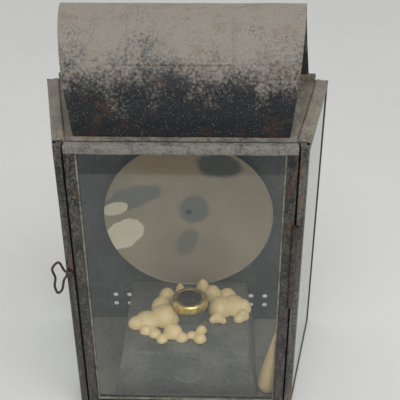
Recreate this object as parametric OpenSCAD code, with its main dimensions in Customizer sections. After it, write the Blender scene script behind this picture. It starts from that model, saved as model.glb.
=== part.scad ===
// Tin lantern with a glazed door, splayed side panes, a barrel hood and an oil fount.
// Millimetres, +Z up. The origin is the middle of the base, and the door faces -Y.

/* [Body] */
// Width across the two front posts
front_w = 181; // [160:1:210]
// Width across the back
back_w = 234; // [215:1:270]
// Depth from the front of the posts to the back of the back plate
body_d = 120; // [112:1:150]
// Height from the base to the top plate
body_h = 256; // [240:1:300]
// Thickness of the tinplate
sheet_t = 1; // [0.6:0.1:1.2]

/* [Posts and channels] */
// Width of a front post, seen from the front
post_w = 5.4; // [5:0.1:7]
// Depth of a front post
post_d = 9.5; // [9:0.1:12]
// Radius of a post's outer front edge
post_r = 2; // [1:0.1:2.4]
// How far a post reaches back along the side pane
post_side_l = 8; // [7:0.5:14]
// Width of the lip that the closed door rests against
stop_w = 2.6; // [1.5:0.1:4]
// Length of the channel that holds a side pane at the back
back_channel_l = 6; // [5:0.5:12]
// Depth of the grooves that hold the side panes
groove_l = 3; // [2:0.5:4]
// Thickness of the lips of a glazing channel
lip_t = 0.5; // [0.4:0.1:0.8]
// Height of the outer lip of the sill under a side pane
sill_out_h = 1.8; // [1.6:0.1:4]
// Height of the inner lip of that sill
sill_in_h = 5; // [3:0.5:10]

/* [Glass] */
// Thickness of the side panes
side_glass_t = 2; // [1.5:0.1:3]
// Thickness of the door pane
door_glass_t = 2; // [1.5:0.1:3]
// Play on each side of a pane in its groove
pane_gap = 0.1; // [0.05:0.05:0.3]

/* [Top] */
// Width of the rolled rim along each side of the top
rim_w = 10; // [8:0.5:14]
// Height of the rim's inner ridge above the top plate
rim_ridge_h = 1.6; // [1:0.1:3]
// How far the rim hangs over the side pane
rim_drop = 6; // [4:0.5:10]
// Height of the strip that stiffens the front of the top plate
front_rail_h = 10; // [8:0.5:16]
// Height of the curb along the back of the top plate
curb_h = 6; // [4:0.5:10]
// Radius of the flue hole
flue_r = 45; // [35:0.5:46]
// Distance of the flue's middle behind the middle of the body
flue_y = 6; // [0:0.5:8]
// Height of the flue ring above the top plate
flue_ring_h = 8; // [5:0.5:15]
// Thickness of the flue ring
flue_ring_t = 0.8; // [0.6:0.1:1.2]

/* [Hood] */
// Distance of the hood's front edge behind the front of the posts
hood_setback = 15.6; // [12:0.2:17]
// Height of the hood's straight part
hood_wall_h = 28; // [20:0.5:40]
// Half the hood's width at its front edge
hood_front_half = 78.3; // [70:0.1:81]
// Half the hood's width at its back edge
hood_back_half = 101; // [95:0.5:104]
// Thickness of the hood
hood_t = 0.9; // [0.6:0.1:1.2]
// Width of the blank panel on the hood
panel_w = 77; // [60:1:90]
// Thickness of the blank panel
panel_t = 0.6; // [0.4:0.1:1.2]
// Angle of the panel's lower edge up the barrel
panel_low_deg = 28; // [16:4:36]
// Angle of the panel's upper edge up the barrel
panel_high_deg = 76; // [60:4:84]

/* [Door] */
// Gap between the door and each post
door_gap = 1.6; // [1.5:0.1:2.5]
// Gap under the door
door_foot_gap = 0.5; // [0.3:0.1:1.5]
// Play between the closed door and the lips behind it
door_play = 0.5; // [0.3:0.1:0.8]
// Width of a door stile
stile_w = 7.5; // [6.5:0.1:10]
// Height of the door's top and bottom rails
door_rail_h = 5.5; // [5:0.1:9]
// Wall of the folded door frame
frame_t = 0.8; // [0.6:0.1:1]
// How far the door pane goes into its frame
pane_inset = 3; // [2:0.1:3.5]
// Width of the bright bead around the door pane
bead_w = 1.5; // [1:0.1:3]
// Depth of that bead
bead_d = 1.4; // [1:0.1:1.8]

/* [Hinge] */
// Height of the hinge's lower end above the base
hinge_z = 115; // [90:1:130]
// Length of the hinge
hinge_l = 75; // [60:1:90]
// Outer radius of the hinge knuckles
knuckle_r = 2; // [1.8:0.1:2.2]
// Radius of the hinge pin
hinge_pin_r = 1; // [0.8:0.1:1.2]
// Radial play of the pin in its knuckles
hinge_play = 0.05; // [0.03:0.01:0.08]
// Distance of the pin in front of the door's face
hinge_out = 1; // [0.8:0.1:1.5]
// Thickness of a hinge leaf
leaf_t = 0.6; // [0.5:0.05:0.65]
// Gap between two knuckles
knuckle_gap = 0.3; // [0.2:0.1:0.6]
// Room around the knuckles in the posts and stile
knuckle_room = 0.4; // [0.3:0.1:0.6]
// Height of the head at each end of the pin
pin_head_h = 0.8; // [0.5:0.1:1.2]
// Radius of those heads
pin_head_r = 1.6; // [1.5:0.1:1.8]

/* [Latch] */
// Height of the latch pivot above the base
latch_z = 145.5; // [125:0.5:165]
// Distance of the latch pivot in from the post's outer face
latch_in = 2.5; // [2.4:0.1:2.8]
// Radius of the latch wire
latch_wire_r = 1; // [0.8:0.1:1.2]
// Radius of the rivet that the latch turns on
latch_rivet_r = 1.1; // [0.9:0.1:1.3]
// How deep that rivet goes into the post
latch_rivet_l = 4.5; // [3:0.1:4.5]
// Radial play of the latch on its rivet
latch_play = 0.05; // [0.03:0.01:0.08]
// Wall of the latch eye
latch_eye_w = 1.9; // [1.6:0.1:2]
// Gap between the latch and the faces that it turns past
latch_gap = 0.3; // [0.3:0.1:0.6]
// Radius of the rivet's head
latch_head_r = 2.4; // [2.2:0.1:3]
// Height of the rivet's head
latch_head_h = 0.9; // [0.6:0.1:1.2]

/* [Reflector] */
// Diameter of the reflector
reflector_d = 152.4; // [130:0.2:160]
// Depth of its dish
dish_depth = 10.5; // [8:0.5:16]
// Thickness of the dish
dish_t = 0.8; // [0.6:0.1:1.2]
// Radius of its rolled edge
dish_bead_r = 1.1; // [0.9:0.1:1.5]
// Height of its middle above the base
dish_z = 127.6; // [127:0.2:140]
// Radius of the rivet that holds it
dish_rivet_r = 1.5; // [1.2:0.1:2]
// Play of that rivet in its holes
rivet_play = 0.1; // [0.05:0.05:0.2]
// Radius of the rivet's heads
dish_head_r = 4; // [3:0.1:6]
// Height of the rivet's heads
dish_head_h = 1.2; // [0.8:0.1:2]

/* [Fount] */
// Half the width of the fount's top
fount_top_half = 54; // [48:0.5:58]
// Half the width of the fount's foot
fount_foot_half = 63; // [59:0.5:70]
// Height of the fount
fount_h = 49; // [40:0.5:49]
// Distance of the fount's face behind the front of the posts
fount_setback = 15; // [13:0.5:20]
// Distance of the fount's back in front of the back plate
fount_back_gap = 5; // [3:0.5:12]
// Thickness of the fount's tin
fount_t = 0.8; // [0.6:0.1:1.2]
// Diameter of the stamped disc on the fount's face
disc_d = 36; // [30:0.5:40]
// Thickness of that disc
disc_t = 0.6; // [0.4:0.1:1]
// Width of the disc's raised ring
disc_ring_w = 2.4; // [1.5:0.1:4]
// Height of the disc's raised ring
disc_ring_h = 0.8; // [0.5:0.1:1.5]

/* [Collar] */
// Inner radius of the brass collar, a 7/8 inch burner collar
collar_r = 11.1; // [10.5:0.1:12]
// Outer radius of the brass collar
collar_out_r = 16.5; // [15:0.1:18]
// Height of the brass collar
collar_h = 9; // [7:0.5:12]
// Height of the tin neck under it
neck_h = 11; // [6:0.5:14]
// Wall of the tin neck
neck_t = 1.5; // [1:0.1:2]
// Play between the collar bore and the neck's bore
neck_step = 0.9; // [0.5:0.1:1.5]
// Distance of the collar to the right of the middle
collar_x = 2; // [-4:0.5:6]

/* [Vents] */
// Radius of a vent hole
vent_r = 2.5; // [1.5:0.1:3.5]
// Distance of the inner vent column from the middle
vent_x = 59.5; // [50:0.5:68]
// Distance from one vent column to the next
vent_step_x = 13.5; // [9:0.5:16]
// Height of the lower vent row
vent_z = 18.8; // [14:0.2:30]
// Distance from one vent row to the next
vent_step_z = 10.8; // [8:0.2:16]

/* [Back sleeve] */
// Width of the slot for a wall bracket
slot_w = 36; // [25:1:50]
// Depth of that slot
slot_d = 5; // [4.5:0.1:8]
// Height of the sleeve
sleeve_h = 70; // [50:1:80]
// Height of the sleeve's lower end above the base
sleeve_z = 150; // [140:1:160]
// Width of each soldered flange
sleeve_flange_w = 8; // [5:0.5:12]

/* [Candle] */
// Length of the candle stub
candle_l = 78; // [60:1:90]
// Radius of its foot
candle_foot_r = 9; // [7:0.5:11]
// Radius of its tip
candle_tip_r = 3.4; // [2:0.1:5]
// How far its tip stands in from the right post
candle_in = 4.6; // [4:0.1:8]
// How far it leans to the right over its length
candle_lean_x = 8.9; // [5:0.1:9.5]
// How far it leans to the front over its length
candle_lean_y = 8.5; // [5:0.1:12]
// Least gap between wax and other pieces
wax_gap = 0.3; // [0.2:0.1:0.6]

/* [Hidden] */
$fn = 64;

black_tin = [0.17, 0.16, 0.15];
tan_tin = [0.46, 0.41, 0.35];
grey_tin = [0.42, 0.41, 0.38];
bare_tin = [0.62, 0.58, 0.50];
clear_glass = [0.80, 0.88, 0.86, 0.35];
brass_colour = [0.80, 0.66, 0.30];
wax_colour = [0.88, 0.79, 0.60];

// A length longer than the whole object, for cutting slabs
far = 2 * (body_h + back_w);
// A small overrun for clean cuts
over = 0.5;

front_y = -body_d / 2;
back_y = body_d / 2;
back_face_y = back_y - sheet_t;
splay = atan((back_w - front_w) / (2 * body_d));

// Half the body's width at a depth, and half the top plate's
function half_w(y) = front_w / 2 + (y - front_y) * tan(splay);
function plate_half(y) = half_w(y) - rim_w / cos(splay);

channel_w = 2 * lip_t + side_glass_t + 2 * pane_gap;
groove_w = side_glass_t + 2 * pane_gap;
side_l = body_d / cos(splay);
channel_z = side_l - back_channel_l;

// Puts a shape that is drawn along the right side in its place: x runs back, y runs inwards
module along_side() {
    translate([front_w / 2, front_y, 0]) rotate([0, 0, 90 - splay]) children();
}

// Mirrors a right-hand shape to the left
module left_hand() {
    mirror([1, 0, 0]) children();
}

// Extrudes an outline, drawn as inward distance and height, along the right side
module along_side_prism(from, to) {
    along_side() translate([from, 0, 0]) rotate([90, 0, 90]) linear_extrude(to - from) children();
}

// Keeps only what lies between two depths
module between_depths(y0, y1) {
    intersection() {
        children();
        translate([-far / 2, y0, -far / 2]) cube([far, y1 - y0, far]);
    }
}

module floor_plate() {
    color(black_tin) linear_extrude(sheet_t) polygon([
        [-front_w / 2, front_y], [front_w / 2, front_y],
        [back_w / 2, back_y], [-back_w / 2, back_y]
    ]);
}

curb_y = back_face_y - hood_t - sheet_t;
curb_half = plate_half(curb_y);

module back_plate() {
    plate_w = 2 * half_w(back_face_y);
    color(black_tin) difference() {
        union() {
            translate([-plate_w / 2, back_face_y, sheet_t]) cube([plate_w, sheet_t, body_h - sheet_t]);
            translate([-curb_half, back_face_y, body_h - over]) cube([2 * curb_half, sheet_t, curb_h + over]);
        }
        for (side = [-1, 1], column = [0, 1], row = [0, 1])
            translate([side * (vent_x + column * vent_step_x), back_y, vent_z + row * vent_step_z])
                rotate([90, 0, 0]) translate([0, 0, -over]) cylinder(h = sheet_t + 2 * over, r = vent_r);
        translate([0, back_y + over, dish_z]) rotate([90, 0, 0])
            cylinder(h = sheet_t + 2 * over, r = dish_rivet_r + rivet_play);
    }
}

// Front posts, with the groove for the side pane and the lip that stops the door
post_in_x = front_w / 2 - post_w;
corner_l = post_r * (1 - sin(splay)) / cos(splay);
corner_x = front_w / 2 + corner_l * sin(splay) - post_r * cos(splay);
post_h = body_h - sheet_t;

module post_outline() {
    difference() {
        union() {
            translate([post_in_x, front_y]) square([corner_x - post_in_x, post_d]);
            translate([corner_x, front_y + post_r]) circle(r = post_r);
            translate([front_w / 2, front_y]) rotate(90 - splay)
                translate([corner_l, 0]) square([post_side_l - corner_l, channel_w]);
            translate([post_in_x - stop_w, front_y + post_d - sheet_t]) square([stop_w + over, sheet_t]);
        }
        translate([front_w / 2, front_y]) rotate(90 - splay)
            translate([post_side_l - groove_l, lip_t]) square([groove_l + over, groove_w]);
    }
}

// Room for the hinge knuckles in a post or a stile
hinge_x = post_in_x - door_gap / 2;
hinge_y = front_y - hinge_out;
module knuckle_cut() {
    translate([hinge_x, hinge_y, hinge_z - pin_head_h - knuckle_room])
        cylinder(h = hinge_l + 2 * (pin_head_h + knuckle_room), r = knuckle_r + knuckle_room);
}

latch_x = front_w / 2 - latch_in;
module right_post() {
    color(black_tin) difference() {
        translate([0, 0, sheet_t]) linear_extrude(post_h) post_outline();
        knuckle_cut();
    }
}
module left_post() {
    color(black_tin) left_hand() difference() {
        translate([0, 0, sheet_t]) linear_extrude(post_h) post_outline();
        translate([latch_x, front_y - over, latch_z]) rotate([-90, 0, 0])
            cylinder(h = latch_rivet_l + over, r = latch_rivet_r);
    }
}

// Sills under the side panes
module side_sill() {
    color(black_tin) along_side_prism(post_side_l, channel_z) translate([0, sheet_t]) {
        square([lip_t, sill_out_h]);
        square([channel_w, lip_t]);
        translate([channel_w - lip_t, 0]) square([lip_t, sill_in_h]);
    }
}
module right_sill() { side_sill(); }
module left_sill() { left_hand() side_sill(); }

// Upright channels at the back of the side panes
module side_back_channel() {
    color(black_tin) between_depths(front_y, back_face_y) along_side() difference() {
        translate([channel_z, 0, sheet_t]) cube([2 * back_channel_l, channel_w, body_h - rim_drop - sheet_t]);
        translate([channel_z - over, lip_t, 0]) cube([groove_l + over, groove_w, body_h]);
    }
}
module right_back_channel() { side_back_channel(); }
module left_back_channel() { left_hand() side_back_channel(); }

// Side panes, held in the posts, sills, back channels and rims
pane_foot_z = sheet_t + lip_t + pane_gap;
pane_top_z = body_h - sheet_t - 2 * pane_gap;
module side_pane() {
    color(clear_glass) along_side()
        translate([post_side_l - groove_l + pane_gap, lip_t + pane_gap, pane_foot_z])
            cube([channel_z - post_side_l + 2 * (groove_l - pane_gap), side_glass_t, pane_top_z - pane_foot_z]);
}
module right_side_glass() { side_pane(); }
module left_side_glass() { left_hand() side_pane(); }

// Upper and lower strips that join the posts behind the door
strip_half = post_in_x - stop_w;
strip_y = front_y + post_d - sheet_t;
module front_rail() {
    color(black_tin) translate([-strip_half, strip_y, body_h - front_rail_h])
        cube([2 * strip_half, sheet_t, front_rail_h]);
}
module front_sill() {
    color(black_tin) translate([-strip_half, strip_y, sheet_t]) cube([2 * strip_half, sheet_t, sill_in_h]);
}

top_front_y = front_y + post_d;
module top_plate() {
    color(grey_tin) translate([0, 0, body_h - sheet_t]) linear_extrude(sheet_t) difference() {
        polygon([
            [-plate_half(top_front_y), top_front_y], [plate_half(top_front_y), top_front_y],
            [plate_half(curb_y), curb_y], [-plate_half(curb_y), curb_y]
        ]);
        translate([0, flue_y]) circle(r = flue_r);
    }
}

module back_curb() {
    color(tan_tin) translate([-curb_half, curb_y, body_h - sheet_t])
        cube([2 * curb_half, sheet_t, curb_h + sheet_t]);
}

// Rolled rims that cover the tops of the side panes
module rim_outline() {
    roll = rim_w / 6;
    polygon([
        [0, -rim_drop], [0, -roll], [roll / 4, -roll / 3], [roll, 0],
        [rim_w - 1.4 * roll, rim_ridge_h * 0.9], [rim_w - 0.9 * roll, rim_ridge_h],
        [rim_w - 0.3 * roll, rim_ridge_h * 0.7], [rim_w, 0], [rim_w, -sheet_t],
        [channel_w, -sheet_t], [channel_w, -rim_drop], [channel_w - lip_t, -rim_drop],
        [channel_w - lip_t, -sheet_t], [lip_t, -sheet_t], [lip_t, -rim_drop]
    ]);
}
module side_top_rim() {
    color(tan_tin) between_depths(top_front_y, back_face_y)
        along_side_prism(0, side_l + post_side_l) translate([0, body_h]) rim_outline();
}
module right_top_rim() { side_top_rim(); }
module left_top_rim() { left_hand() side_top_rim(); }

module flue_ring() {
    color(black_tin) translate([0, flue_y, body_h - sheet_t]) difference() {
        cylinder(h = sheet_t + flue_ring_h, r = flue_r);
        translate([0, 0, -over]) cylinder(h = sheet_t + flue_ring_h + 2 * over, r = flue_r - flue_ring_t);
    }
}

// Hood: one sheet bent over a half circle, wider towards the back, open at both ends
hood_front_y = front_y + hood_setback;
hood_r = (back_face_y - hood_front_y) / 2;
hood_y = hood_front_y + hood_r;
hood_z = body_h + hood_wall_h;
hood_step = 4;
hood_steps = 180 / hood_step;
hood_sheet_l = 2 * hood_wall_h + PI * hood_r;

// The sheet's profile by its step: 0 is the front edge, then the arc, and last the back edge
function profile_angle(i) = i <= 0 ? 0 : i > hood_steps ? 180 : (i - 1) * hood_step;
function profile_z(i, r) =
    i <= 0 || i >= hood_steps + 2 ? body_h : hood_z + r * sin(profile_angle(i));
function profile_y(i, r) = hood_y - r * cos(profile_angle(i));
function profile_run(i) =
    i <= 0 ? 0 : i >= hood_steps + 2 ? hood_sheet_l : hood_wall_h + hood_r * profile_angle(i) * PI / 180;
function hood_half(i) =
    hood_front_half + (hood_back_half - hood_front_half) * profile_run(i) / hood_sheet_l;

// A strip of sheet between two profile steps, from radius r_in to r_out
module bent_sheet(first, last, r_in, r_out, halves) {
    count = last - first + 1;
    points = [for (i = [first:last]) let (w = halves[i - first]) each [
        [-w, profile_y(i, r_out), profile_z(i, r_out)], [w, profile_y(i, r_out), profile_z(i, r_out)],
        [w, profile_y(i, r_in), profile_z(i, r_in)], [-w, profile_y(i, r_in), profile_z(i, r_in)]
    ]];
    sides = [for (k = [0:count - 2], c = [0:3]) let (
        a = 4 * k + c, b = 4 * k + (c + 1) % 4
    ) each [[a, b, b + 4], [a, b + 4, a + 4]]];
    e = 4 * (count - 1);
    ends = [[0, 2, 1], [0, 3, 2], [e, e + 1, e + 2], [e, e + 2, e + 3]];
    polyhedron(points = points, faces = [for (f = concat(sides, ends)) [f[0], f[2], f[1]]]);
}

module hood() {
    last = hood_steps + 2;
    color(black_tin) bent_sheet(0, last, hood_r - hood_t, hood_r, [for (i = [0:last]) hood_half(i)]);
}

module hood_panel() {
    first = 1 + panel_low_deg / hood_step;
    last = 1 + panel_high_deg / hood_step;
    color(black_tin)
        bent_sheet(first, last, hood_r, hood_r + panel_t, [for (i = [first:last]) panel_w / 2]);
}

// Reflector: a shallow dish with a rolled edge, riveted through its middle
dish_r = reflector_d / 2;
dish_ball = (dish_r * dish_r + dish_depth * dish_depth) / (2 * dish_depth);
dish_edge_r = dish_r - dish_bead_r;
dish_reach = asin(dish_edge_r / dish_ball);
dish_steps = 14;
dish_y = back_face_y - dish_t;
module reflector() {
    function shell(r, k) = [r * sin(dish_reach * k / dish_steps), dish_ball - r * cos(dish_reach * k / dish_steps)];
    bead_z = dish_ball * (1 - cos(dish_reach)) - dish_t / 2;
    color(bare_tin) translate([0, dish_y, dish_z]) rotate([90, 0, 0]) difference() {
        union() {
            rotate_extrude($fn = 96) polygon(concat(
                [for (k = [0:dish_steps]) shell(dish_ball, k)],
                [for (k = [dish_steps:-1:0]) shell(dish_ball + dish_t, k)]
            ));
            rotate_extrude($fn = 96) translate([dish_edge_r, bead_z]) circle(r = dish_bead_r, $fn = 24);
        }
        translate([0, 0, -dish_depth]) cylinder(h = 2 * dish_depth, r = dish_rivet_r + rivet_play);
    }
}

module reflector_rivet() {
    dish_rise = dish_head_r * tan(dish_reach / dish_steps);
    shank_l = dish_t + sheet_t + dish_rise;
    color(black_tin) translate([0, back_y, dish_z]) rotate([90, 0, 0]) {
        translate([0, 0, -dish_head_h]) cylinder(h = dish_head_h, r1 = 0.6 * dish_head_r, r2 = dish_head_r);
        translate([0, 0, -over]) cylinder(h = shank_l + 2 * over, r = dish_rivet_r);
        translate([0, 0, shank_l]) cylinder(h = dish_head_h, r1 = dish_head_r, r2 = 0.6 * dish_head_r);
    }
}

// Fount: a tapered oil tank with a flat top, a stamped disc on its face and a burner collar
fount_front_y = front_y + fount_setback;
fount_back_y = back_face_y - fount_back_gap;
fount_top_z = sheet_t + fount_h;
function fount_half(z) =
    fount_foot_half + (fount_top_half - fount_foot_half) * (z - sheet_t) / fount_h;

// A tapered block of the fount between two heights and two depths, drawn in by an inset
module fount_block(z0, z1, y0, y1, inset) {
    translate([0, y1, 0]) rotate([90, 0, 0]) linear_extrude(y1 - y0) polygon([
        [-fount_half(z0) + inset, z0], [fount_half(z0) - inset, z0],
        [fount_half(z1) - inset, z1], [-fount_half(z1) + inset, z1]
    ]);
}

lid_z = fount_top_z - fount_t;
module fount_tank() {
    color(grey_tin) difference() {
        fount_block(sheet_t, lid_z, fount_front_y, fount_back_y, 0);
        fount_block(sheet_t + fount_t, lid_z + over, fount_front_y + fount_t, fount_back_y - fount_t, fount_t);
    }
}
collar_y = flue_y;
neck_r = collar_r + neck_step;
module fount_top() {
    color(grey_tin) difference() {
        fount_block(lid_z, fount_top_z, fount_front_y, fount_back_y, 0);
        translate([collar_x, collar_y, lid_z - over]) cylinder(h = fount_t + 2 * over, r = neck_r);
    }
}
disc_z = fount_top_z - disc_d / 2;
module fount_disc() {
    color(grey_tin) translate([collar_x, fount_front_y, disc_z]) rotate([90, 0, 0]) {
        cylinder(h = disc_t, r = disc_d / 2);
        difference() {
            cylinder(h = disc_t + disc_ring_h, r = disc_d / 2 - disc_ring_w / 2);
            translate([0, 0, disc_t]) cylinder(h = disc_ring_h + over, r = disc_d / 2 - 1.5 * disc_ring_w);
        }
    }
}
module collar_neck() {
    color(grey_tin) translate([collar_x, collar_y, fount_top_z]) difference() {
        cylinder(h = neck_h, r = neck_r + neck_t);
        translate([0, 0, -over]) cylinder(h = neck_h + 2 * over, r = neck_r);
    }
}
collar_z = fount_top_z + neck_h;
module brass_collar() {
    wall = collar_out_r - collar_r;
    color(brass_colour) translate([collar_x, collar_y, collar_z]) rotate_extrude() polygon([
        [collar_r, 0], [collar_out_r - 0.35 * wall, 0], [collar_out_r - 0.08 * wall, 0.1 * collar_h],
        [collar_out_r, 0.3 * collar_h], [collar_out_r - 0.06 * wall, 0.6 * collar_h],
        [collar_out_r - 0.2 * wall, 0.85 * collar_h], [collar_out_r - 0.5 * wall, collar_h],
        [collar_r + 0.1 * wall, collar_h], [collar_r, 0.96 * collar_h]
    ]);
}

// Wax that ran over the fount's top, in low rounded lumps: middle, radius and height
wax_lumps = [
    [-44, -4, 9, 7], [-34, 5, 10, 10], [-25, -13, 12, 10], [-12, -6, 12, 13], [-4, -24, 8, 6],
    [10, -22, 8, 6], [-20, -24, 6, 5], [24, 10, 11, 13], [36, 8, 12, 11], [46, 1, 10, 8],
    [48, 16, 9, 7], [30, 26, 12, 9], [12, 30, 10, 9], [-12, 18, 11, 9]
];
module melted_wax() {
    color(wax_colour) difference() {
        union() for (lump = wax_lumps) translate([collar_x + lump[0], collar_y + lump[1], fount_top_z]) hull() {
            cylinder(h = lump[3] / 3, r = lump[2], $fn = 16);
            cylinder(h = 0.8 * lump[3], r = 0.75 * lump[2], $fn = 16);
            cylinder(h = lump[3], r = 0.4 * lump[2], $fn = 16);
        }
        translate([collar_x, collar_y, fount_top_z - over])
            cylinder(h = neck_h + collar_h + 2 * over, r = collar_out_r + wax_gap);
    }
}

// Candle stub that leans in the right front corner
candle_tip = [post_in_x - candle_in, top_front_y + wax_gap + candle_tip_r];
candle_foot_z = sheet_t + candle_foot_r + wax_gap / 3;
module candle_stub() {
    lean = [candle_lean_x, -candle_lean_y];
    tilt = asin(norm(lean) / candle_l);
    top = candle_l - candle_foot_r;
    color(wax_colour) translate([candle_tip[0] - lean[0], candle_tip[1] - lean[1], candle_foot_z])
        rotate([0, 0, atan2(lean[1], lean[0])]) rotate([0, tilt, 0]) rotate_extrude() polygon(concat(
            [for (a = [-90:15:0]) candle_foot_r * [cos(a), sin(a)]],
            [[candle_tip_r, top - candle_tip_r / 3], [candle_tip_r / 2, top], [0, top]]
        ));
}

// Sleeve on the back that slides over a wall bracket
module back_sleeve() {
    color(black_tin) translate([0, back_y, sleeve_z]) linear_extrude(sleeve_h) difference() {
        union() {
            translate([-slot_w / 2 - sheet_t, 0]) square([slot_w + 2 * sheet_t, slot_d + sheet_t]);
            translate([-slot_w / 2 - sleeve_flange_w, 0]) square([slot_w + 2 * sleeve_flange_w, sheet_t]);
        }
        translate([-slot_w / 2, -over]) square([slot_w, slot_d + over]);
    }
}

// Door: folded stiles and rails around one pane
door_half = post_in_x - door_gap;
door_in_half = door_half - stile_w;
door_z = sheet_t + door_foot_gap;
door_d = post_d - sheet_t - door_play;
door_in_low = door_z + door_rail_h;
door_in_high = body_h - door_rail_h;
door_groove_w = door_glass_t + 2 * pane_gap;
door_groove_y = front_y + (door_d - door_groove_w) / 2;

// The section of a stile or rail, drawn as outward distance and depth from its inner front edge
module frame_outline(w) {
    room = w - pane_inset - 2 * frame_t;
    difference() {
        square([w, door_d]);
        translate([-over, door_groove_y - front_y]) square([pane_inset + over, door_groove_w]);
        if (room > 0.8)
            translate([pane_inset + frame_t, frame_t]) square([room, door_d - 2 * frame_t]);
    }
}
module door_stile() {
    translate([door_in_half, front_y, door_in_low])
        linear_extrude(door_in_high - door_in_low) frame_outline(stile_w);
}
module door_right_stile() {
    color(black_tin) difference() {
        door_stile();
        knuckle_cut();
    }
}
module door_left_stile() { color(black_tin) left_hand() door_stile(); }
module door_rail() {
    rotate([90, 0, 90]) linear_extrude(2 * door_half) rotate(90) mirror([0, 1]) frame_outline(door_rail_h);
}
module door_top_rail() {
    color(black_tin) translate([-door_half, front_y, door_in_high]) door_rail();
}
module door_bottom_rail() {
    color(black_tin) translate([0, 0, door_in_low]) mirror([0, 0, 1])
        translate([-door_half, front_y, 0]) door_rail();
}
module door_glass() {
    reach = pane_inset - pane_gap;
    color(clear_glass)
        translate([-door_in_half - reach, door_groove_y + pane_gap, door_in_low - reach])
            cube([2 * (door_in_half + reach), door_glass_t, door_in_high - door_in_low + 2 * reach]);
}
module glazing_bead() {
    color(bare_tin) translate([0, door_groove_y + pane_gap, 0]) rotate([90, 0, 0])
        linear_extrude(bead_d) difference() {
            translate([-door_in_half, door_in_low]) square([2 * door_in_half, door_in_high - door_in_low]);
            translate([-door_in_half + bead_w, door_in_low + bead_w])
                square([2 * (door_in_half - bead_w), door_in_high - door_in_low - 2 * bead_w]);
        }
}

// Hinge: two leaves on the edges of the post and the stile, five knuckles and a pin
knuckles = 5;
knuckle_l = (hinge_l - (knuckles - 1) * knuckle_gap) / knuckles;
function knuckle_z(k) = hinge_z + k * (knuckle_l + knuckle_gap);

// One leaf on the face at leaf_x, with the knuckles of the given numbers
module hinge_leaf(leaf_x, numbers) {
    leaf_front = hinge_y + knuckle_r + knuckle_room;
    difference() {
        union() {
            translate([leaf_x, leaf_front, hinge_z])
                cube([leaf_t, front_y + door_d - leaf_front, hinge_l]);
            for (k = numbers) {
                translate([leaf_x, hinge_y, knuckle_z(k)]) cube([leaf_t, leaf_front - hinge_y + over, knuckle_l]);
                translate([hinge_x, hinge_y, knuckle_z(k)]) cylinder(h = knuckle_l, r = knuckle_r);
            }
        }
        translate([hinge_x, hinge_y, hinge_z - over])
            cylinder(h = hinge_l + 2 * over, r = hinge_pin_r + hinge_play);
    }
}
module hinge_post_leaf() { color(grey_tin) hinge_leaf(post_in_x - leaf_t, [0, 2, 4]); }
module hinge_door_leaf() { color(grey_tin) hinge_leaf(door_half, [1, 3]); }
module hinge_pin() {
    color(grey_tin) translate([hinge_x, hinge_y, hinge_z]) {
        translate([0, 0, -over]) cylinder(h = hinge_l + 2 * over, r = hinge_pin_r);
        translate([0, 0, -pin_head_h]) cylinder(h = pin_head_h, r = pin_head_r);
        translate([0, 0, hinge_l]) cylinder(h = pin_head_h, r = pin_head_r);
    }
}

// Latch: a bent wire loop that turns on a rivet through the left post
latch_y = front_y - latch_gap - latch_wire_r;
module latch_rivet() {
    shank_l = latch_gap * 2 + 2 * latch_wire_r;
    color(grey_tin) translate([-latch_x, front_y, latch_z]) rotate([90, 0, 0]) {
        translate([0, 0, -latch_rivet_l]) cylinder(h = latch_rivet_l + shank_l + over, r = latch_rivet_r);
        translate([0, 0, shank_l]) cylinder(h = latch_head_h, r1 = latch_head_r, r2 = 0.7 * latch_head_r);
    }
}

// The loop's middle line, as distance to the left of and height above the pivot
latch_route = [
    [1.5, 1], [4, 3], [7.6, 10.5], [13.2, 4.3], [11.6, -4.3], [12.9, -12.5], [11.1, -19.2],
    [7.2, -15.6], [5.1, -6.8], [1.5, -1]
];
latch_parts = 5;
// A point on the smooth curve through the route, at u steps along it
function route_at(i) = latch_route[max(0, min(len(latch_route) - 1, i))];
function smooth(u) = let (
    i = min(floor(u), len(latch_route) - 2), t = u - i,
    a = route_at(i - 1), b = route_at(i), c = route_at(i + 1), d = route_at(i + 2)
) 0.5 * (2 * b + (c - a) * t + (2 * a - 5 * b + 4 * c - d) * t * t + (3 * b - a - 3 * c + d) * t * t * t);

module latch_wire() {
    rings = (len(latch_route) - 1) * latch_parts;
    sides = 10;
    line = [for (k = [0:rings]) smooth(k / latch_parts)];
    points = [for (k = [0:rings]) let (
        run = line[min(k + 1, rings)] - line[max(k - 1, 0)],
        out = [-run[1], run[0]] / norm(run)
    ) each [for (s = [0:sides - 1]) let (
        p = line[k] + out * latch_wire_r * cos(360 * s / sides)
    ) [-latch_x - p[0], latch_y + latch_wire_r * sin(360 * s / sides), latch_z + p[1]]]];
    faces = concat(
        [for (k = [0:rings - 1], s = [0:sides - 1]) let (
            a = k * sides + s, b = k * sides + (s + 1) % sides
        ) each [[a, b + sides, b], [a, a + sides, b + sides]]],
        [[for (s = [0:sides - 1]) s]],
        [[for (s = [sides - 1:-1:0]) rings * sides + s]]
    );
    bore = latch_rivet_r + latch_play;
    color(black_tin) difference() {
        union() {
            polyhedron(points = points, faces = faces);
            translate([-latch_x, latch_y + latch_wire_r, latch_z]) rotate([90, 0, 0])
                cylinder(h = 2 * latch_wire_r, r = bore + latch_eye_w);
        }
        translate([-latch_x, latch_y + 2 * latch_wire_r, latch_z]) rotate([90, 0, 0])
            cylinder(h = 4 * latch_wire_r, r = bore);
    }
}

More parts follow.
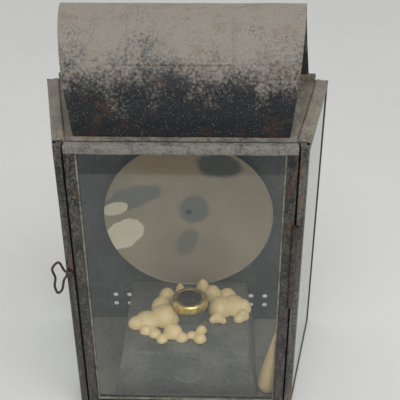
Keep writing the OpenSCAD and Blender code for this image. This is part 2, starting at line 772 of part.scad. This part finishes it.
floor_plate();
back_plate();
left_post();
right_post();
left_sill();
right_sill();
left_back_channel();
right_back_channel();
left_side_glass();
right_side_glass();
front_rail();
front_sill();
top_plate();
back_curb();
left_top_rim();
right_top_rim();
flue_ring();
hood();
hood_panel();
reflector();
reflector_rivet();
fount_tank();
fount_top();
fount_disc();
collar_neck();
brass_collar();
melted_wax();
candle_stub();
back_sleeve();
door_left_stile();
door_right_stile();
door_top_rail();
door_bottom_rail();
door_glass();
glazing_bead();
hinge_post_leaf();
hinge_door_leaf();
hinge_pin();
latch_rivet();
latch_wire();
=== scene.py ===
import math

import bmesh
import bpy
from mathutils import Matrix, Vector, noise


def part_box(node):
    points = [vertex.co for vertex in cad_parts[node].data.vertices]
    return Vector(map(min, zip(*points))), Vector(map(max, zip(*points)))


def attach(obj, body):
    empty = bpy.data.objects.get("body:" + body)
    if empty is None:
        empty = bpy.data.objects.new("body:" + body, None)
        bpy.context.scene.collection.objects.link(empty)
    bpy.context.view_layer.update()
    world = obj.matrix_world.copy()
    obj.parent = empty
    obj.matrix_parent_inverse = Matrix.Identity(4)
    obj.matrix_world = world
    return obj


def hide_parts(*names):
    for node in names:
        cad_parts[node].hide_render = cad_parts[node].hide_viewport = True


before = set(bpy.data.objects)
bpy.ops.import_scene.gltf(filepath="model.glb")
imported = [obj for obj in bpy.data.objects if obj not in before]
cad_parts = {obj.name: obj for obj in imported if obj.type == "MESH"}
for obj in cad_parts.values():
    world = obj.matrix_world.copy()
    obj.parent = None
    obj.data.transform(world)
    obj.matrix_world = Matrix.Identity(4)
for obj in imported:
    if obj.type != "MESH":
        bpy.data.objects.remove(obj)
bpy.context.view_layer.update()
mm = 0.001

# The photograph's camera stands in front of the lantern, a little to its right, and looks
# down on it. Its place and turn were solved from the corners of the body and the reflector.
camera_data = bpy.data.cameras.new("camera")
camera_data.lens = 71.34
camera_data.sensor_width = 36
camera_place = (0.028199, -0.551856, 0.518069)
camera_yaw = math.radians(1.6865)
camera_pitch = math.radians(31.806)
camera_roll = math.radians(-0.3926)
camera = bpy.data.objects.new("camera", camera_data)
camera.matrix_world = (
    Matrix.Translation(camera_place)
    @ Matrix.Rotation(camera_yaw, 4, "Z")
    @ Matrix.Rotation(math.pi / 2 - camera_pitch, 4, "X")
    @ Matrix.Rotation(camera_roll, 4, "Z")
)
bpy.context.scene.collection.objects.link(camera)
bpy.context.scene.camera = camera
bpy.context.scene.view_settings.view_transform = "Standard"


# The table is pale and plain, in front of a pale wall. Its near edge lies about 400 mm in
# front of the lantern, and the door pane mirrors the dark room beyond that edge.
class Term:
    """A socket among a finish's nodes. Arithmetic on it adds the nodes that work it out."""

    def __init__(self, tree, socket=None):
        self.tree = tree
        self.socket = socket

    def node(self, kind, settings, sockets, out=0):
        """Adds a node, first its settings and then its sockets, and gives one of its outputs."""
        made = self.tree.nodes.new("ShaderNode" + kind)
        for name, value in settings.items():
            setattr(made, name, value)
        for name, value in sockets.items():
            socket = made.inputs[name]
            if isinstance(value, Term):
                self.tree.links.new(value.socket, socket)
            elif socket.type == "RGBA":
                socket.default_value = (*value, 1)
            else:
                socket.default_value = value
        return Term(self.tree, made.outputs[out]) if made.outputs else None

    def maths(self, operation, *terms):
        return self.node("Math", {"operation": operation}, dict(enumerate(terms)))

    def __add__(self, other):
        return self.maths("ADD", self, other)

    __radd__ = __add__

    def __sub__(self, other):
        return self.maths("SUBTRACT", self, other)

    def __rsub__(self, other):
        return self.maths("SUBTRACT", other, self)

    def __mul__(self, other):
        return self.maths("MULTIPLY", self, other)

    __rmul__ = __mul__


def shade(red, green, blue):
    """A colour as it looks on a screen, 0 to 255, in the linear values that the nodes take."""
    shares = [level / 255 for level in (red, green, blue)]
    return tuple(s / 12.92 if s < 0.0404 else ((s + 0.055) / 1.055) ** 2.4 for s in shares)


def start_finish(name):
    """A new material, and a term to begin its nodes with."""
    finish = bpy.data.materials.new(name)
    finish.use_nodes = True
    finish.node_tree.nodes.clear()
    return finish, Term(finish.node_tree)


def own_place(start):
    """Places measured in the lantern's own coordinates."""
    return start.node("TexCoord", {}, {}, out=3)


def mottle(place, size, seed, detail=4, rough=0.55, stretch=(1, 1, 1)):
    """Cloudy change from 0 to 1 in patches of about that size, longer where stretch is small."""
    spread = place.node("Mapping", {}, {"Vector": place, "Scale": [s / size for s in stretch]})
    return place.node(
        "TexNoise",
        {"noise_dimensions": "4D"},
        {"Vector": spread, "W": seed, "Scale": 1.0, "Detail": detail, "Roughness": rough},
    )


def rise(value, low, high):
    """0 where the value is under low, 1 where it is over high, and smooth between."""
    return value.node(
        "MapRange",
        {"interpolation_type": "SMOOTHSTEP"},
        {"Value": value, "From Min": low, "From Max": high},
    )


def blend(mask, under, over):
    """The colour under, with the colour over painted on it where the mask is 1."""
    return mask.node("Mix", {"data_type": "RGBA"}, {0: mask, 6: under, 7: over}, out=2)


def end_finish(start, colour, roughness, metallic=0.0, bump=None, depth=0.1 * mm, **more):
    """Ends a material on one surface shader. Depth is the height of its bumps."""
    sockets = {"Base Color": colour, "Roughness": roughness, "Metallic": metallic, **more}
    if bump is not None:
        sockets["Normal"] = start.node("Bump", {}, {"Height": bump, "Distance": depth})
    surface = start.node("BsdfPrincipled", {}, sockets)
    start.node("OutputMaterial", {}, {"Surface": surface})


def stage_sheet(name, half, middle, finish):
    """A flat square of the surroundings, which isn't a piece of the lantern."""
    bm = bmesh.new()
    bmesh.ops.create_grid(bm, x_segments=1, y_segments=1, size=half)
    bmesh.ops.translate(bm, verts=bm.verts, vec=middle)
    mesh = bpy.data.meshes.new(name)
    bm.to_mesh(mesh)
    bm.free()
    mesh.materials.append(finish)
    sheet = bpy.data.objects.new(name, mesh)
    bpy.context.scene.collection.objects.link(sheet)
    return sheet


table_edge_y = -458 * mm
sheet_half = 3.0
table_finish, term = start_finish("table_white")
table_cloud = mottle(own_place(term), 0.3, 0.5)
end_finish(term, blend(table_cloud, shade(214, 214, 210), shade(224, 223, 220)), 0.6)
stage_sheet("table", sheet_half, (0, 0, 0), table_finish)

# The dark room shows in mirrored light only, so it neither shades the lantern nor hides
# the table from the camera.
room_finish, term = start_finish("dark_room")
end_finish(term, shade(14, 17, 20), 0.9)
room_middle = (0, table_edge_y - sheet_half, 1 * mm)
dark_room = stage_sheet("dark_room", sheet_half, room_middle, room_finish)
dark_room.visible_camera = False
dark_room.visible_diffuse = False
dark_room.visible_shadow = False
dark_room.visible_transmission = False

# Plain soft light comes from all round, with a large lamp above and in front. The camera,
# mirrors and glass see the pale wall in place of that light.
world = bpy.data.worlds.new("studio")
world.use_nodes = True
world.node_tree.nodes.clear()
term = Term(world.node_tree)
seen = term.node("LightPath", {}, {}, out=0)
mirrored = term.node("LightPath", {}, {}, out=3)
through = term.node("LightPath", {}, {}, out=6)
backdrop = rise(seen + mirrored + through, 0.0, 0.5)
light_tone = blend(backdrop, (0.62, 0.63, 0.64), shade(226, 226, 224))
sky = term.node("Background", {}, {"Color": light_tone, "Strength": 1.0})
term.node("OutputWorld", {}, {"Surface": sky})
bpy.context.scene.world = world

lamp_data = bpy.data.lights.new("softbox", "AREA")
lamp_data.shape = "RECTANGLE"
lamp_data.size, lamp_data.size_y = 1.4, 1.0
lamp_data.energy = 13
lamp = bpy.data.objects.new("softbox", lamp_data)
lamp.location = (0.25, -0.75, 1.55)
lamp_target = Vector((0, 0, 0.12))
lamp.rotation_euler = (lamp_target - lamp.location).to_track_quat("-Z", "Y").to_euler()
lamp.visible_camera = False
bpy.context.scene.collection.objects.link(lamp)


# The body is a box of japanned tinplate: a floor, a back with eight vent holes, sills and
# channels for the side panes, all soldered along their folded edges. Inside it is dull
# slate, and the floor is dusty.
def height(place):
    """The height of a place above the table."""
    return place.node("SeparateXYZ", {}, {"Vector": place}, out=2)


def japan(name, dark, worn, wear, size, flecks, rust, stretch=(1, 1, 1), seed=0.0, painted_top_light=None):
    """Worn black varnish on tin, with pale flecks, rust and pits.

    Wear is how much more or less than half is worn. The last argument, if given, holds two
    heights between which more of the pale colour is painted, with how much more: painted light
    that makes the upper part paler.
    """
    finish, start = start_finish(name)
    place = own_place(start)
    cloud = mottle(place, size, seed + 1.3, 5, 0.6, stretch)
    fine = mottle(place, 2.2 * mm, seed + 4.1, 3, 0.6)
    grit = mottle(place, 0.9 * mm, seed + 7.7, 2, 0.5)
    wear_and_top_light = cloud + 0.9 * (fine - 0.5) + wear
    # Painted light: above the given heights more of the surface takes the pale colour, so the
    # top looks lit from above.
    if painted_top_light:
        low, high, growth = painted_top_light
        wear_and_top_light = wear_and_top_light + growth * rise(height(place), low, high)
    wear_and_top_light_share = rise(wear_and_top_light, 0.32, 0.72)
    brown = rise(mottle(place, 0.6 * size, seed + 9.2, 4, 0.6, stretch), 0.52, 0.66)
    pale = rise(grit, 0.60, 0.72)
    pits = rise(grit, 0.42, 0.30)
    # The pale colour stands for wear, and also for painted light where heights for it are given.
    tone = blend(wear_and_top_light_share, dark, worn)
    tone = blend(rust * brown, tone, shade(106, 74, 50))
    tone = blend(flecks * pale, tone, shade(196, 190, 176))
    tone = blend(0.5 * pits, tone, shade(16, 17, 20))
    roughness = 0.42 + 0.3 * wear_and_top_light_share
    end_finish(start, tone, roughness, bump=fine + 0.6 * grit, depth=0.16 * mm)
    return finish


def paint_node(finish, *nodes):
    """Gives CAD nodes a finish and leaves their shape alone."""
    for node in nodes:
        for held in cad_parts[node].material_slots:
            held.material = finish


def add_piece(name, bm, body, finish, node, crease=35):
    """Makes a mesh a named piece of the lantern that stands for a CAD node."""
    mesh = bpy.data.meshes.new(name)
    bm.to_mesh(mesh)
    bm.free()
    mesh.shade_smooth()
    mesh.set_sharp_from_angle(angle=math.radians(crease))
    mesh.materials.append(finish)
    piece = bpy.data.objects.new(name, mesh)
    bpy.context.scene.collection.objects.link(piece)
    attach(piece, body)
    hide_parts(node)
    return piece


def merged_copy(node):
    """A copy of a CAD node's mesh with its loose triangles joined into flat faces."""
    bm = bmesh.new()
    bm.from_mesh(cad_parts[node].data)
    bmesh.ops.remove_doubles(bm, verts=bm.verts, dist=0.001 * mm)
    bmesh.ops.dissolve_limit(bm, angle_limit=math.radians(0.5), verts=bm.verts, edges=bm.edges)
    return bm


def soften(bm, width, least=25, segments=3):
    """Rounds the edges that turn by more than the least angle, in degrees."""
    limit = math.radians(least)
    sharp = [e for e in bm.edges if e.is_manifold and e.calc_face_angle() > limit]
    bmesh.ops.bevel(
        bm, geom=sharp, offset=width, segments=segments, affect="EDGES", profile=0.5,
        material=-1, clamp_overlap=True,
    )


def softened_node(node, finish, width=0.2 * mm, body="body"):
    """Stands a round-edged copy in for a CAD node of folded sheet."""
    bm = merged_copy(node)
    soften(bm, width)
    return add_piece(node + "_folded", bm, body, finish, node)


slate = japan(
    "slate_inside", shade(44, 51, 55), shade(88, 92, 90), -0.06, 50 * mm, 0.06, 0.03
)
dusty = japan(
    "dusty_floor", shade(84, 83, 78), shade(120, 116, 106), 0.1, 30 * mm, 0.12, 0.1, seed=3
)
paint_node(dusty, "floor_plate")
paint_node(slate, "back_plate", "left_back_channel", "right_back_channel")
paint_node(slate, "front_rail", "front_sill", "left_sill", "right_sill")

# The front posts are columns of folded tin with rounded outer edges. Each holds a side pane
# at its back and is worn in streaks down its length.
post_japan = japan(
    "post_japan", shade(42, 42, 41), shade(112, 108, 100), -0.04, 8 * mm, 0.3, 0.5,
    stretch=(1, 1, 0.12), seed=5,
)
softened_node("left_post", post_japan, 0.6 * mm)
softened_node("right_post", post_japan, 0.6 * mm)


# The side panes are clear window glass, cut to stock thickness. They are held in the posts,
# sills, back channels and rims.
def clear_glass(name, tint, dust_colour, dust_share):
    """Clear window glass with a little dust. Light from lamps passes straight through it."""
    finish, start = start_finish(name)
    place = own_place(start)
    dust = rise(mottle(place, 14 * mm, 2.6, 5, 0.65), 0.5, 0.85) * dust_share
    specks = rise(mottle(place, 1.1 * mm, 5.9, 1, 0.4), 0.74, 0.80) * 0.25
    clear = start.node(
        "BsdfPrincipled",
        {},
        {"Base Color": tint, "Roughness": 0.0, "IOR": 1.5, "Transmission Weight": 1.0},
    )
    grime = start.node("BsdfPrincipled", {}, {"Base Color": dust_colour, "Roughness": 0.9})
    dusted = start.node("MixShader", {}, {0: dust + specks, 1: clear, 2: grime})
    shadow = start.node("LightPath", {}, {}, out=1)
    open_way = start.node("BsdfTransparent", {}, {"Color": (0.92, 0.94, 0.93)})
    surface = start.node("MixShader", {}, {0: shadow, 1: dusted, 2: open_way})
    start.node("OutputMaterial", {}, {"Surface": surface})
    return finish


side_clear = clear_glass("side_glass", (0.93, 0.97, 0.95), shade(190, 194, 188), 0.05)
paint_node(side_clear, "left_side_glass", "right_side_glass")

# The top is a flat plate with a curb at the back and a rolled rim over each side pane, in
# bare tin that has gone tan.
tan_tin = japan(
    "tan_tin", shade(92, 87, 78), shade(142, 134, 118), 0.02, 10 * mm, 0.3, 0.2,
    stretch=(1, 0.4, 1), seed=11,
)
paint_node(tan_tin, "top_plate")
softened_node("back_curb", tan_tin)
softened_node("left_top_rim", tan_tin, 0.4 * mm)
softened_node("right_top_rim", tan_tin, 0.4 * mm)

# The flue ring is a strip of tin round the hole in the top plate, under the hood. The lamp's
# smoke has blackened it.
soot = japan("soot", shade(22, 22, 23), shade(44, 42, 40), -0.1, 20 * mm, 0.04, 0.1, seed=17)
paint_node(soot, "flue_ring")

# The hood is one sheet bent over a half circle and soldered to the top plate. It widens
# towards the back and is open at both ends. Its black varnish is worn grey-brown in patches,
# and painted light from above turns it paler at the top, so it stays nearly black towards its
# foot.
hood_low, hood_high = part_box("hood")
hood_r = (hood_high.y - hood_low.y) / 2
hood_y = (hood_high.y + hood_low.y) / 2
hood_z = hood_high.z - hood_r
hood_wall = hood_z - hood_low.z
hood_run = 2 * hood_wall + math.pi * hood_r
hood_front_half = 78.3 * mm
hood_sheet_t = 0.9 * mm
hood_ripple = 0.25 * mm
hood_sink = 0.3 * mm


def hood_half(run):
    """Half the hood's width, which grows steadily along the bend."""
    return hood_front_half + (hood_high.x - hood_front_half) * run / hood_run


def hood_place(across, run, out=0.0):
    """A place on the hood: across from -1 to 1, run along the bend from the front foot."""
    x = across * hood_half(run)
    turn = (run - hood_wall) / hood_r
    if turn <= 0:
        return Vector((x, hood_low.y - out, hood_low.z + run))
    if turn >= math.pi:
        return Vector((x, hood_high.y + out, hood_low.z + hood_run - run))
    r = hood_r + out
    return Vector((x, hood_y - r * math.cos(turn), hood_z + r * math.sin(turn)))


# The pale colour grows between 262 and 332 mm up: painted light from above on the hood's top.
hood_japan_painted_top_light = japan(
    "hood_japan_painted_top_light", shade(34, 37, 41), shade(136, 129, 118), -0.36, 22 * mm, 0.34, 0.24,
    seed=23, painted_top_light=(262 * mm, 332 * mm, 0.62),
)
bm = bmesh.new()
bmesh.ops.create_grid(bm, x_segments=60, y_segments=84, size=1)
for v in bm.verts:
    ripple = noise.noise(Vector((v.co.x * 3, v.co.y * 4, 0.3))) * hood_ripple
    v.co = hood_place(v.co.x, (v.co.y + 1) / 2 * hood_run, ripple - hood_sink)
bmesh.ops.recalc_face_normals(bm, faces=bm.faces)
bmesh.ops.solidify(bm, geom=bm.faces[:], thickness=hood_sheet_t)
soften(bm, 0.25 * mm, least=60, segments=2)
add_piece("hood_sheet", bm, "body", hood_japan_painted_top_light, "hood")

# The panel pressed into the hood's front is blank tin with a raised line around it. Its
# rim sinks a little into the hood's sheet.
panel_half = 38.5 * mm
panel_low_run = hood_wall + hood_r * math.radians(28)
panel_high_run = hood_wall + hood_r * math.radians(76)
panel_rise = panel_high_run - panel_low_run
panel_line = 2.2 * mm
panel_line_out = 0.9 * mm
panel_sink = 0.35 * mm
panel_rim_sink = 0.4 * mm
panel_field_out = 0.12 * mm
panel_most_out = 0.58 * mm
panel_sheet_t = 0.4 * mm
bm = bmesh.new()
bmesh.ops.create_grid(bm, x_segments=110, y_segments=66, size=1)
for v in bm.verts:
    run = panel_low_run + (v.co.y + 1) / 2 * panel_rise
    inset = min((1 - abs(v.co.x)) * panel_half, (1 - abs(v.co.y)) / 2 * panel_rise)
    ridge = math.exp(-(((inset - panel_line / 2) / (0.42 * panel_line)) ** 2))
    field = panel_field_out * (min(1, inset / panel_line) + noise.noise(v.co * 9))
    out = min(panel_line_out * ridge + field - panel_sink, panel_most_out)
    if inset <= 0:
        out = -panel_rim_sink
    v.co = hood_place(v.co.x * panel_half / hood_half(run), run, out)
bmesh.ops.recalc_face_normals(bm, faces=bm.faces)
bmesh.ops.solidify(bm, geom=bm.faces[:], thickness=panel_sheet_t)
add_piece("hood_blank_panel", bm, "body", hood_japan_painted_top_light, "hood_panel")

# The reflector is a shallow dish of bright tin with a rolled edge, riveted to the back
# through its middle. It has tarnished in brown, grey and cream patches.
dish_low, dish_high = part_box("reflector")
dish_r = (dish_high.x - dish_low.x) / 2
dish_z = (dish_high.z + dish_low.z) / 2
dish_back_y = dish_high.y
dish_depth = 10.5 * mm
dish_t = 0.8 * mm
dish_bead = 1.1 * mm
dish_bead_r = dish_r - dish_bead
dish_ball = ((76.2 * mm) ** 2 + dish_depth**2) / (2 * dish_depth)
dish_ball_y = dish_back_y - dish_t - dish_ball


def blot(place, x, z, wide, high, turn, ragged, seed, soft=0.12):
    """A patch on the dish: a turned ellipse with a ragged rim. Sizes are in millimetres."""
    local = place.node(
        "Mapping",
        {"vector_type": "TEXTURE"},
        {
            "Vector": place,
            "Location": (x * mm, 0, dish_z + z * mm),
            "Rotation": (0, math.radians(turn), 0),
            "Scale": (wide * mm, 1, high * mm),
        },
    )
    flat = local.node("VectorMath", {"operation": "MULTIPLY"}, {0: local, 1: (1, 0, 1)})
    reach = flat.node("VectorMath", {"operation": "LENGTH"}, {0: flat}, out=1)
    edge = reach + ragged * (mottle(place, 12 * mm, seed, 4, 0.6) - 0.5)
    return rise(edge, 1.0 + soft, 1.0 - soft)


reflector_tarnish, term = start_finish("reflector_tarnish")
place = own_place(term)
cloud = mottle(place, 30 * mm, 31.0, 4, 0.5)
tone = blend(cloud, shade(150, 136, 112), shade(172, 160, 138))
tone = blend(blot(place, -10, 62, 50, 22, 0, 0.3, 1, 0.3) * 0.7, tone, shade(142, 116, 84))
tone = blend(blot(place, 5, -52, 46, 30, 0, 0.5, 2, 0.4) * 0.5, tone, shade(132, 118, 104))
tone = blend(blot(place, 27, 52, 20, 14, 0, 0.8, 3, 0.2), tone, shade(58, 62, 58))
tone = blend(blot(place, -50, 18, 26, 12, -16, 0.8, 4) * 0.9, tone, shade(112, 118, 114))
tone = blend(blot(place, 5, 3, 13, 15, 25, 0.5, 5, 0.2) * 0.9, tone, shade(104, 110, 108))
tone = blend(blot(place, -2, -32, 9, 14, 30, 0.6, 6, 0.25) * 0.8, tone, shade(106, 108, 102))
tone = blend(blot(place, -66, 8, 12, 7, 0, 0.9, 7, 0.05), tone, shade(232, 222, 196))
tone = blend(blot(place, -60, -20, 20, 14, -28, 0.5, 8, 0.05), tone, shade(236, 226, 200))
specks = rise(mottle(place, 2 * mm, 9, 2, 0.5), 0.66, 0.72)
tone = blend(specks * 0.5, tone, shade(110, 76, 52))
end_finish(term, tone, 0.42, 0.25, bump=mottle(place, 3 * mm, 33, 3), depth=0.05 * mm)

bm = bmesh.new()
middle = bmesh.ops.create_vert(bm, co=(0, dish_back_y - dish_t, dish_z))["vert"]
bmesh.ops.spin(
    bm, geom=middle, cent=(0, dish_ball_y, dish_z), axis=(1, 0, 0),
    angle=-math.asin(dish_bead_r / dish_ball), steps=22,
)
bmesh.ops.spin(
    bm, geom=bm.verts[:] + bm.edges[:], cent=(0, 0, dish_z), axis=(0, 1, 0),
    angle=2 * math.pi, steps=96, use_merge=True,
)
bmesh.ops.remove_doubles(bm, verts=bm.verts, dist=0.001 * mm)
bmesh.ops.recalc_face_normals(bm, faces=bm.faces)
bmesh.ops.solidify(bm, geom=bm.faces[:], thickness=dish_t)
bead_y = dish_ball_y + math.sqrt(dish_ball**2 - dish_bead_r**2)
ring = bmesh.ops.create_circle(
    bm, segments=12, radius=dish_bead, matrix=Matrix.Translation((dish_bead_r, bead_y, dish_z))
)["verts"]
bmesh.ops.spin(
    bm, geom=ring + list({e for v in ring for e in v.link_edges}), cent=(0, 0, dish_z),
    axis=(0, 1, 0), angle=2 * math.pi, steps=96, use_merge=True,
)
bmesh.ops.recalc_face_normals(bm, faces=bm.faces)
add_piece("reflector_dish", bm, "body", reflector_tarnish, "reflector")
paint_node(slate, "reflector_rivet")

# The fount is a tapered oil tank of dull tin. Its face has a stamped disc, and a tin neck on
# its top carries a brass collar for the burner.
fount_grey = japan(
    "fount_grey", shade(74, 76, 72), shade(112, 110, 102), 0.0, 25 * mm, 0.1, 0.08, seed=41
)
softened_node("fount_tank", fount_grey, 0.8 * mm)
softened_node("fount_top", fount_grey, 0.3 * mm)
softened_node("fount_disc", fount_grey, 0.35 * mm)
paint_node(fount_grey, "collar_neck")

brass, term = start_finish("collar_brass")
place = own_place(term)
rubbed = mottle(place, 6 * mm, 51, 4, 0.6)
tone = blend(rise(rubbed, 0.4, 0.7), shade(178, 150, 76), shade(226, 206, 132))
scratches = mottle(place, 1.5 * mm, 52)
end_finish(term, tone, 0.2 + 0.25 * rubbed, 1.0, bump=scratches, depth=0.04 * mm)
softened_node("brass_collar", brass, 0.3 * mm)

# Melted wax has run over the fount's top in two lobes and a few drips round the collar. It
# is built up from round lumps, which are then fused and smoothed.
wax, term = start_finish("yellow_wax")
place = own_place(term)
cloud = mottle(place, 9 * mm, 61, 4, 0.55)
tone = blend(cloud, shade(206, 178, 122), shade(232, 208, 158))
glow = {"Subsurface Weight": 0.25, "Subsurface Radius": (4 * mm, 2.5 * mm, 1.2 * mm)}
end_finish(term, tone, 0.42, bump=mottle(place, 2.5 * mm, 62, 3), depth=0.25 * mm, **glow)

fount_top_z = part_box("fount_top")[1].z
wax_seat_gap = 0.05 * mm
# Each lump has its place across and back, its radius and its height, in millimetres.
wax_lumps = [
    (-20, 0, 14, 13), (-36, -6, 12, 10), (-45, -9, 8, 8), (-24, 14, 10, 12), (-20, 28, 8, 12),
    (-8, 33, 5, 14), (-36, -18, 6, 6), (-28, -22, 6, 6), (-21, -29, 5.5, 5), (-12, -20, 9, 9),
    (-4, -27, 6, 6), (5, -23, 5, 4), (12, -28, 6, 6), (13, -17, 5, 6), (30, 12, 12, 14),
    (42, 15, 12, 13), (50, 13, 8, 12), (50, 3, 6, 8), (36, 28, 9, 12), (22, 31, 9, 13),
    (13, 38, 7, 15), (46, -1, 5, 5), (27, 0, 6, 8), (32, -4, 3.5, 5), (23, -3, 4, 6),
]
bm = bmesh.new()
for x, y, r, h in wax_lumps:
    seat = Matrix.Translation((x * mm, y * mm, fount_top_z))
    lump = Matrix.Diagonal((r * mm, r * mm, h * mm, 1))
    bmesh.ops.create_icosphere(bm, subdivisions=3, radius=1, matrix=seat @ lump)
bmesh.ops.bisect_plane(
    bm, geom=bm.verts[:] + bm.edges[:] + bm.faces[:],
    plane_co=(0, 0, fount_top_z + wax_seat_gap), plane_no=(0, 0, 1), clear_inner=True,
)
bmesh.ops.holes_fill(bm, edges=[e for e in bm.edges if e.is_boundary])
wax_pool = add_piece("wax_pool", bm, "body", wax, "melted_wax", crease=180)
remesh = wax_pool.modifiers.new("fused", "REMESH")
remesh.mode = "VOXEL"
remesh.voxel_size = 0.7 * mm
remesh.use_smooth_shade = True
smooth = wax_pool.modifiers.new("melted", "SMOOTH")
smooth.factor = 0.5
smooth.iterations = 6

# The candle stub is of the same wax. It lies loose beside the fount and leans towards the
# right front corner.
add_piece("candle", merged_copy("candle_stub"), "body", wax, "candle_stub", crease=60)

# A sleeve of folded tin on the back slides over a flat wall bracket. It has the varnish of
# the lantern's outside.
outer_japan = japan(
    "outer_japan", shade(36, 37, 38), shade(104, 99, 90), -0.1, 30 * mm, 0.25, 0.3, seed=71
)
softened_node("back_sleeve", outer_japan, 0.3 * mm)

# The door is a frame of four folded tin channels round one pane, with a bright bead of tin
# against the glass. The top rail is worn pale and speckled, the stiles are darker.
rail_japan = japan(
    "rail_japan", shade(88, 86, 82), shade(132, 129, 122), 0.1, 6 * mm, 0.5, 0.12, seed=81
)
stile_japan = japan(
    "stile_japan", shade(36, 37, 38), shade(98, 94, 86), -0.06, 8 * mm, 0.35, 0.4,
    stretch=(1, 1, 0.3), seed=91,
)
softened_node("door_top_rail", rail_japan, 0.8 * mm, "door")
for channel in ("door_bottom_rail", "door_left_stile", "door_right_stile"):
    softened_node(channel, stile_japan, 0.8 * mm, "door")
bead_tin = japan(
    "bead_tin", shade(92, 92, 82), shade(150, 150, 136), 0.05, 12 * mm, 0.2, 0.2, seed=101
)
softened_node("glazing_bead", bead_tin, 0.4 * mm, "door")
door_clear = clear_glass("door_glass", (0.96, 0.98, 0.98), shade(176, 180, 172), 0.06)
paint_node(door_clear, "door_glass")

# The hinge has two narrow leaves of dark iron, whose knuckles turn on one pin. The latch's
# rivet is of the same iron.
iron = japan(
    "dark_iron", shade(40, 35, 31), shade(92, 80, 68), -0.05, 6 * mm, 0.1, 0.5, seed=111
)
paint_node(iron, "hinge_post_leaf", "hinge_door_leaf", "hinge_pin", "latch_rivet")

# The latch is one bent loop of brown iron wire. It turns on the rivet in the left post.
wire_iron = japan(
    "wire_iron", shade(38, 28, 26), shade(86, 70, 62), -0.1, 5 * mm, 0.08, 0.3, seed=121
)
paint_node(wire_iron, "latch_wire")
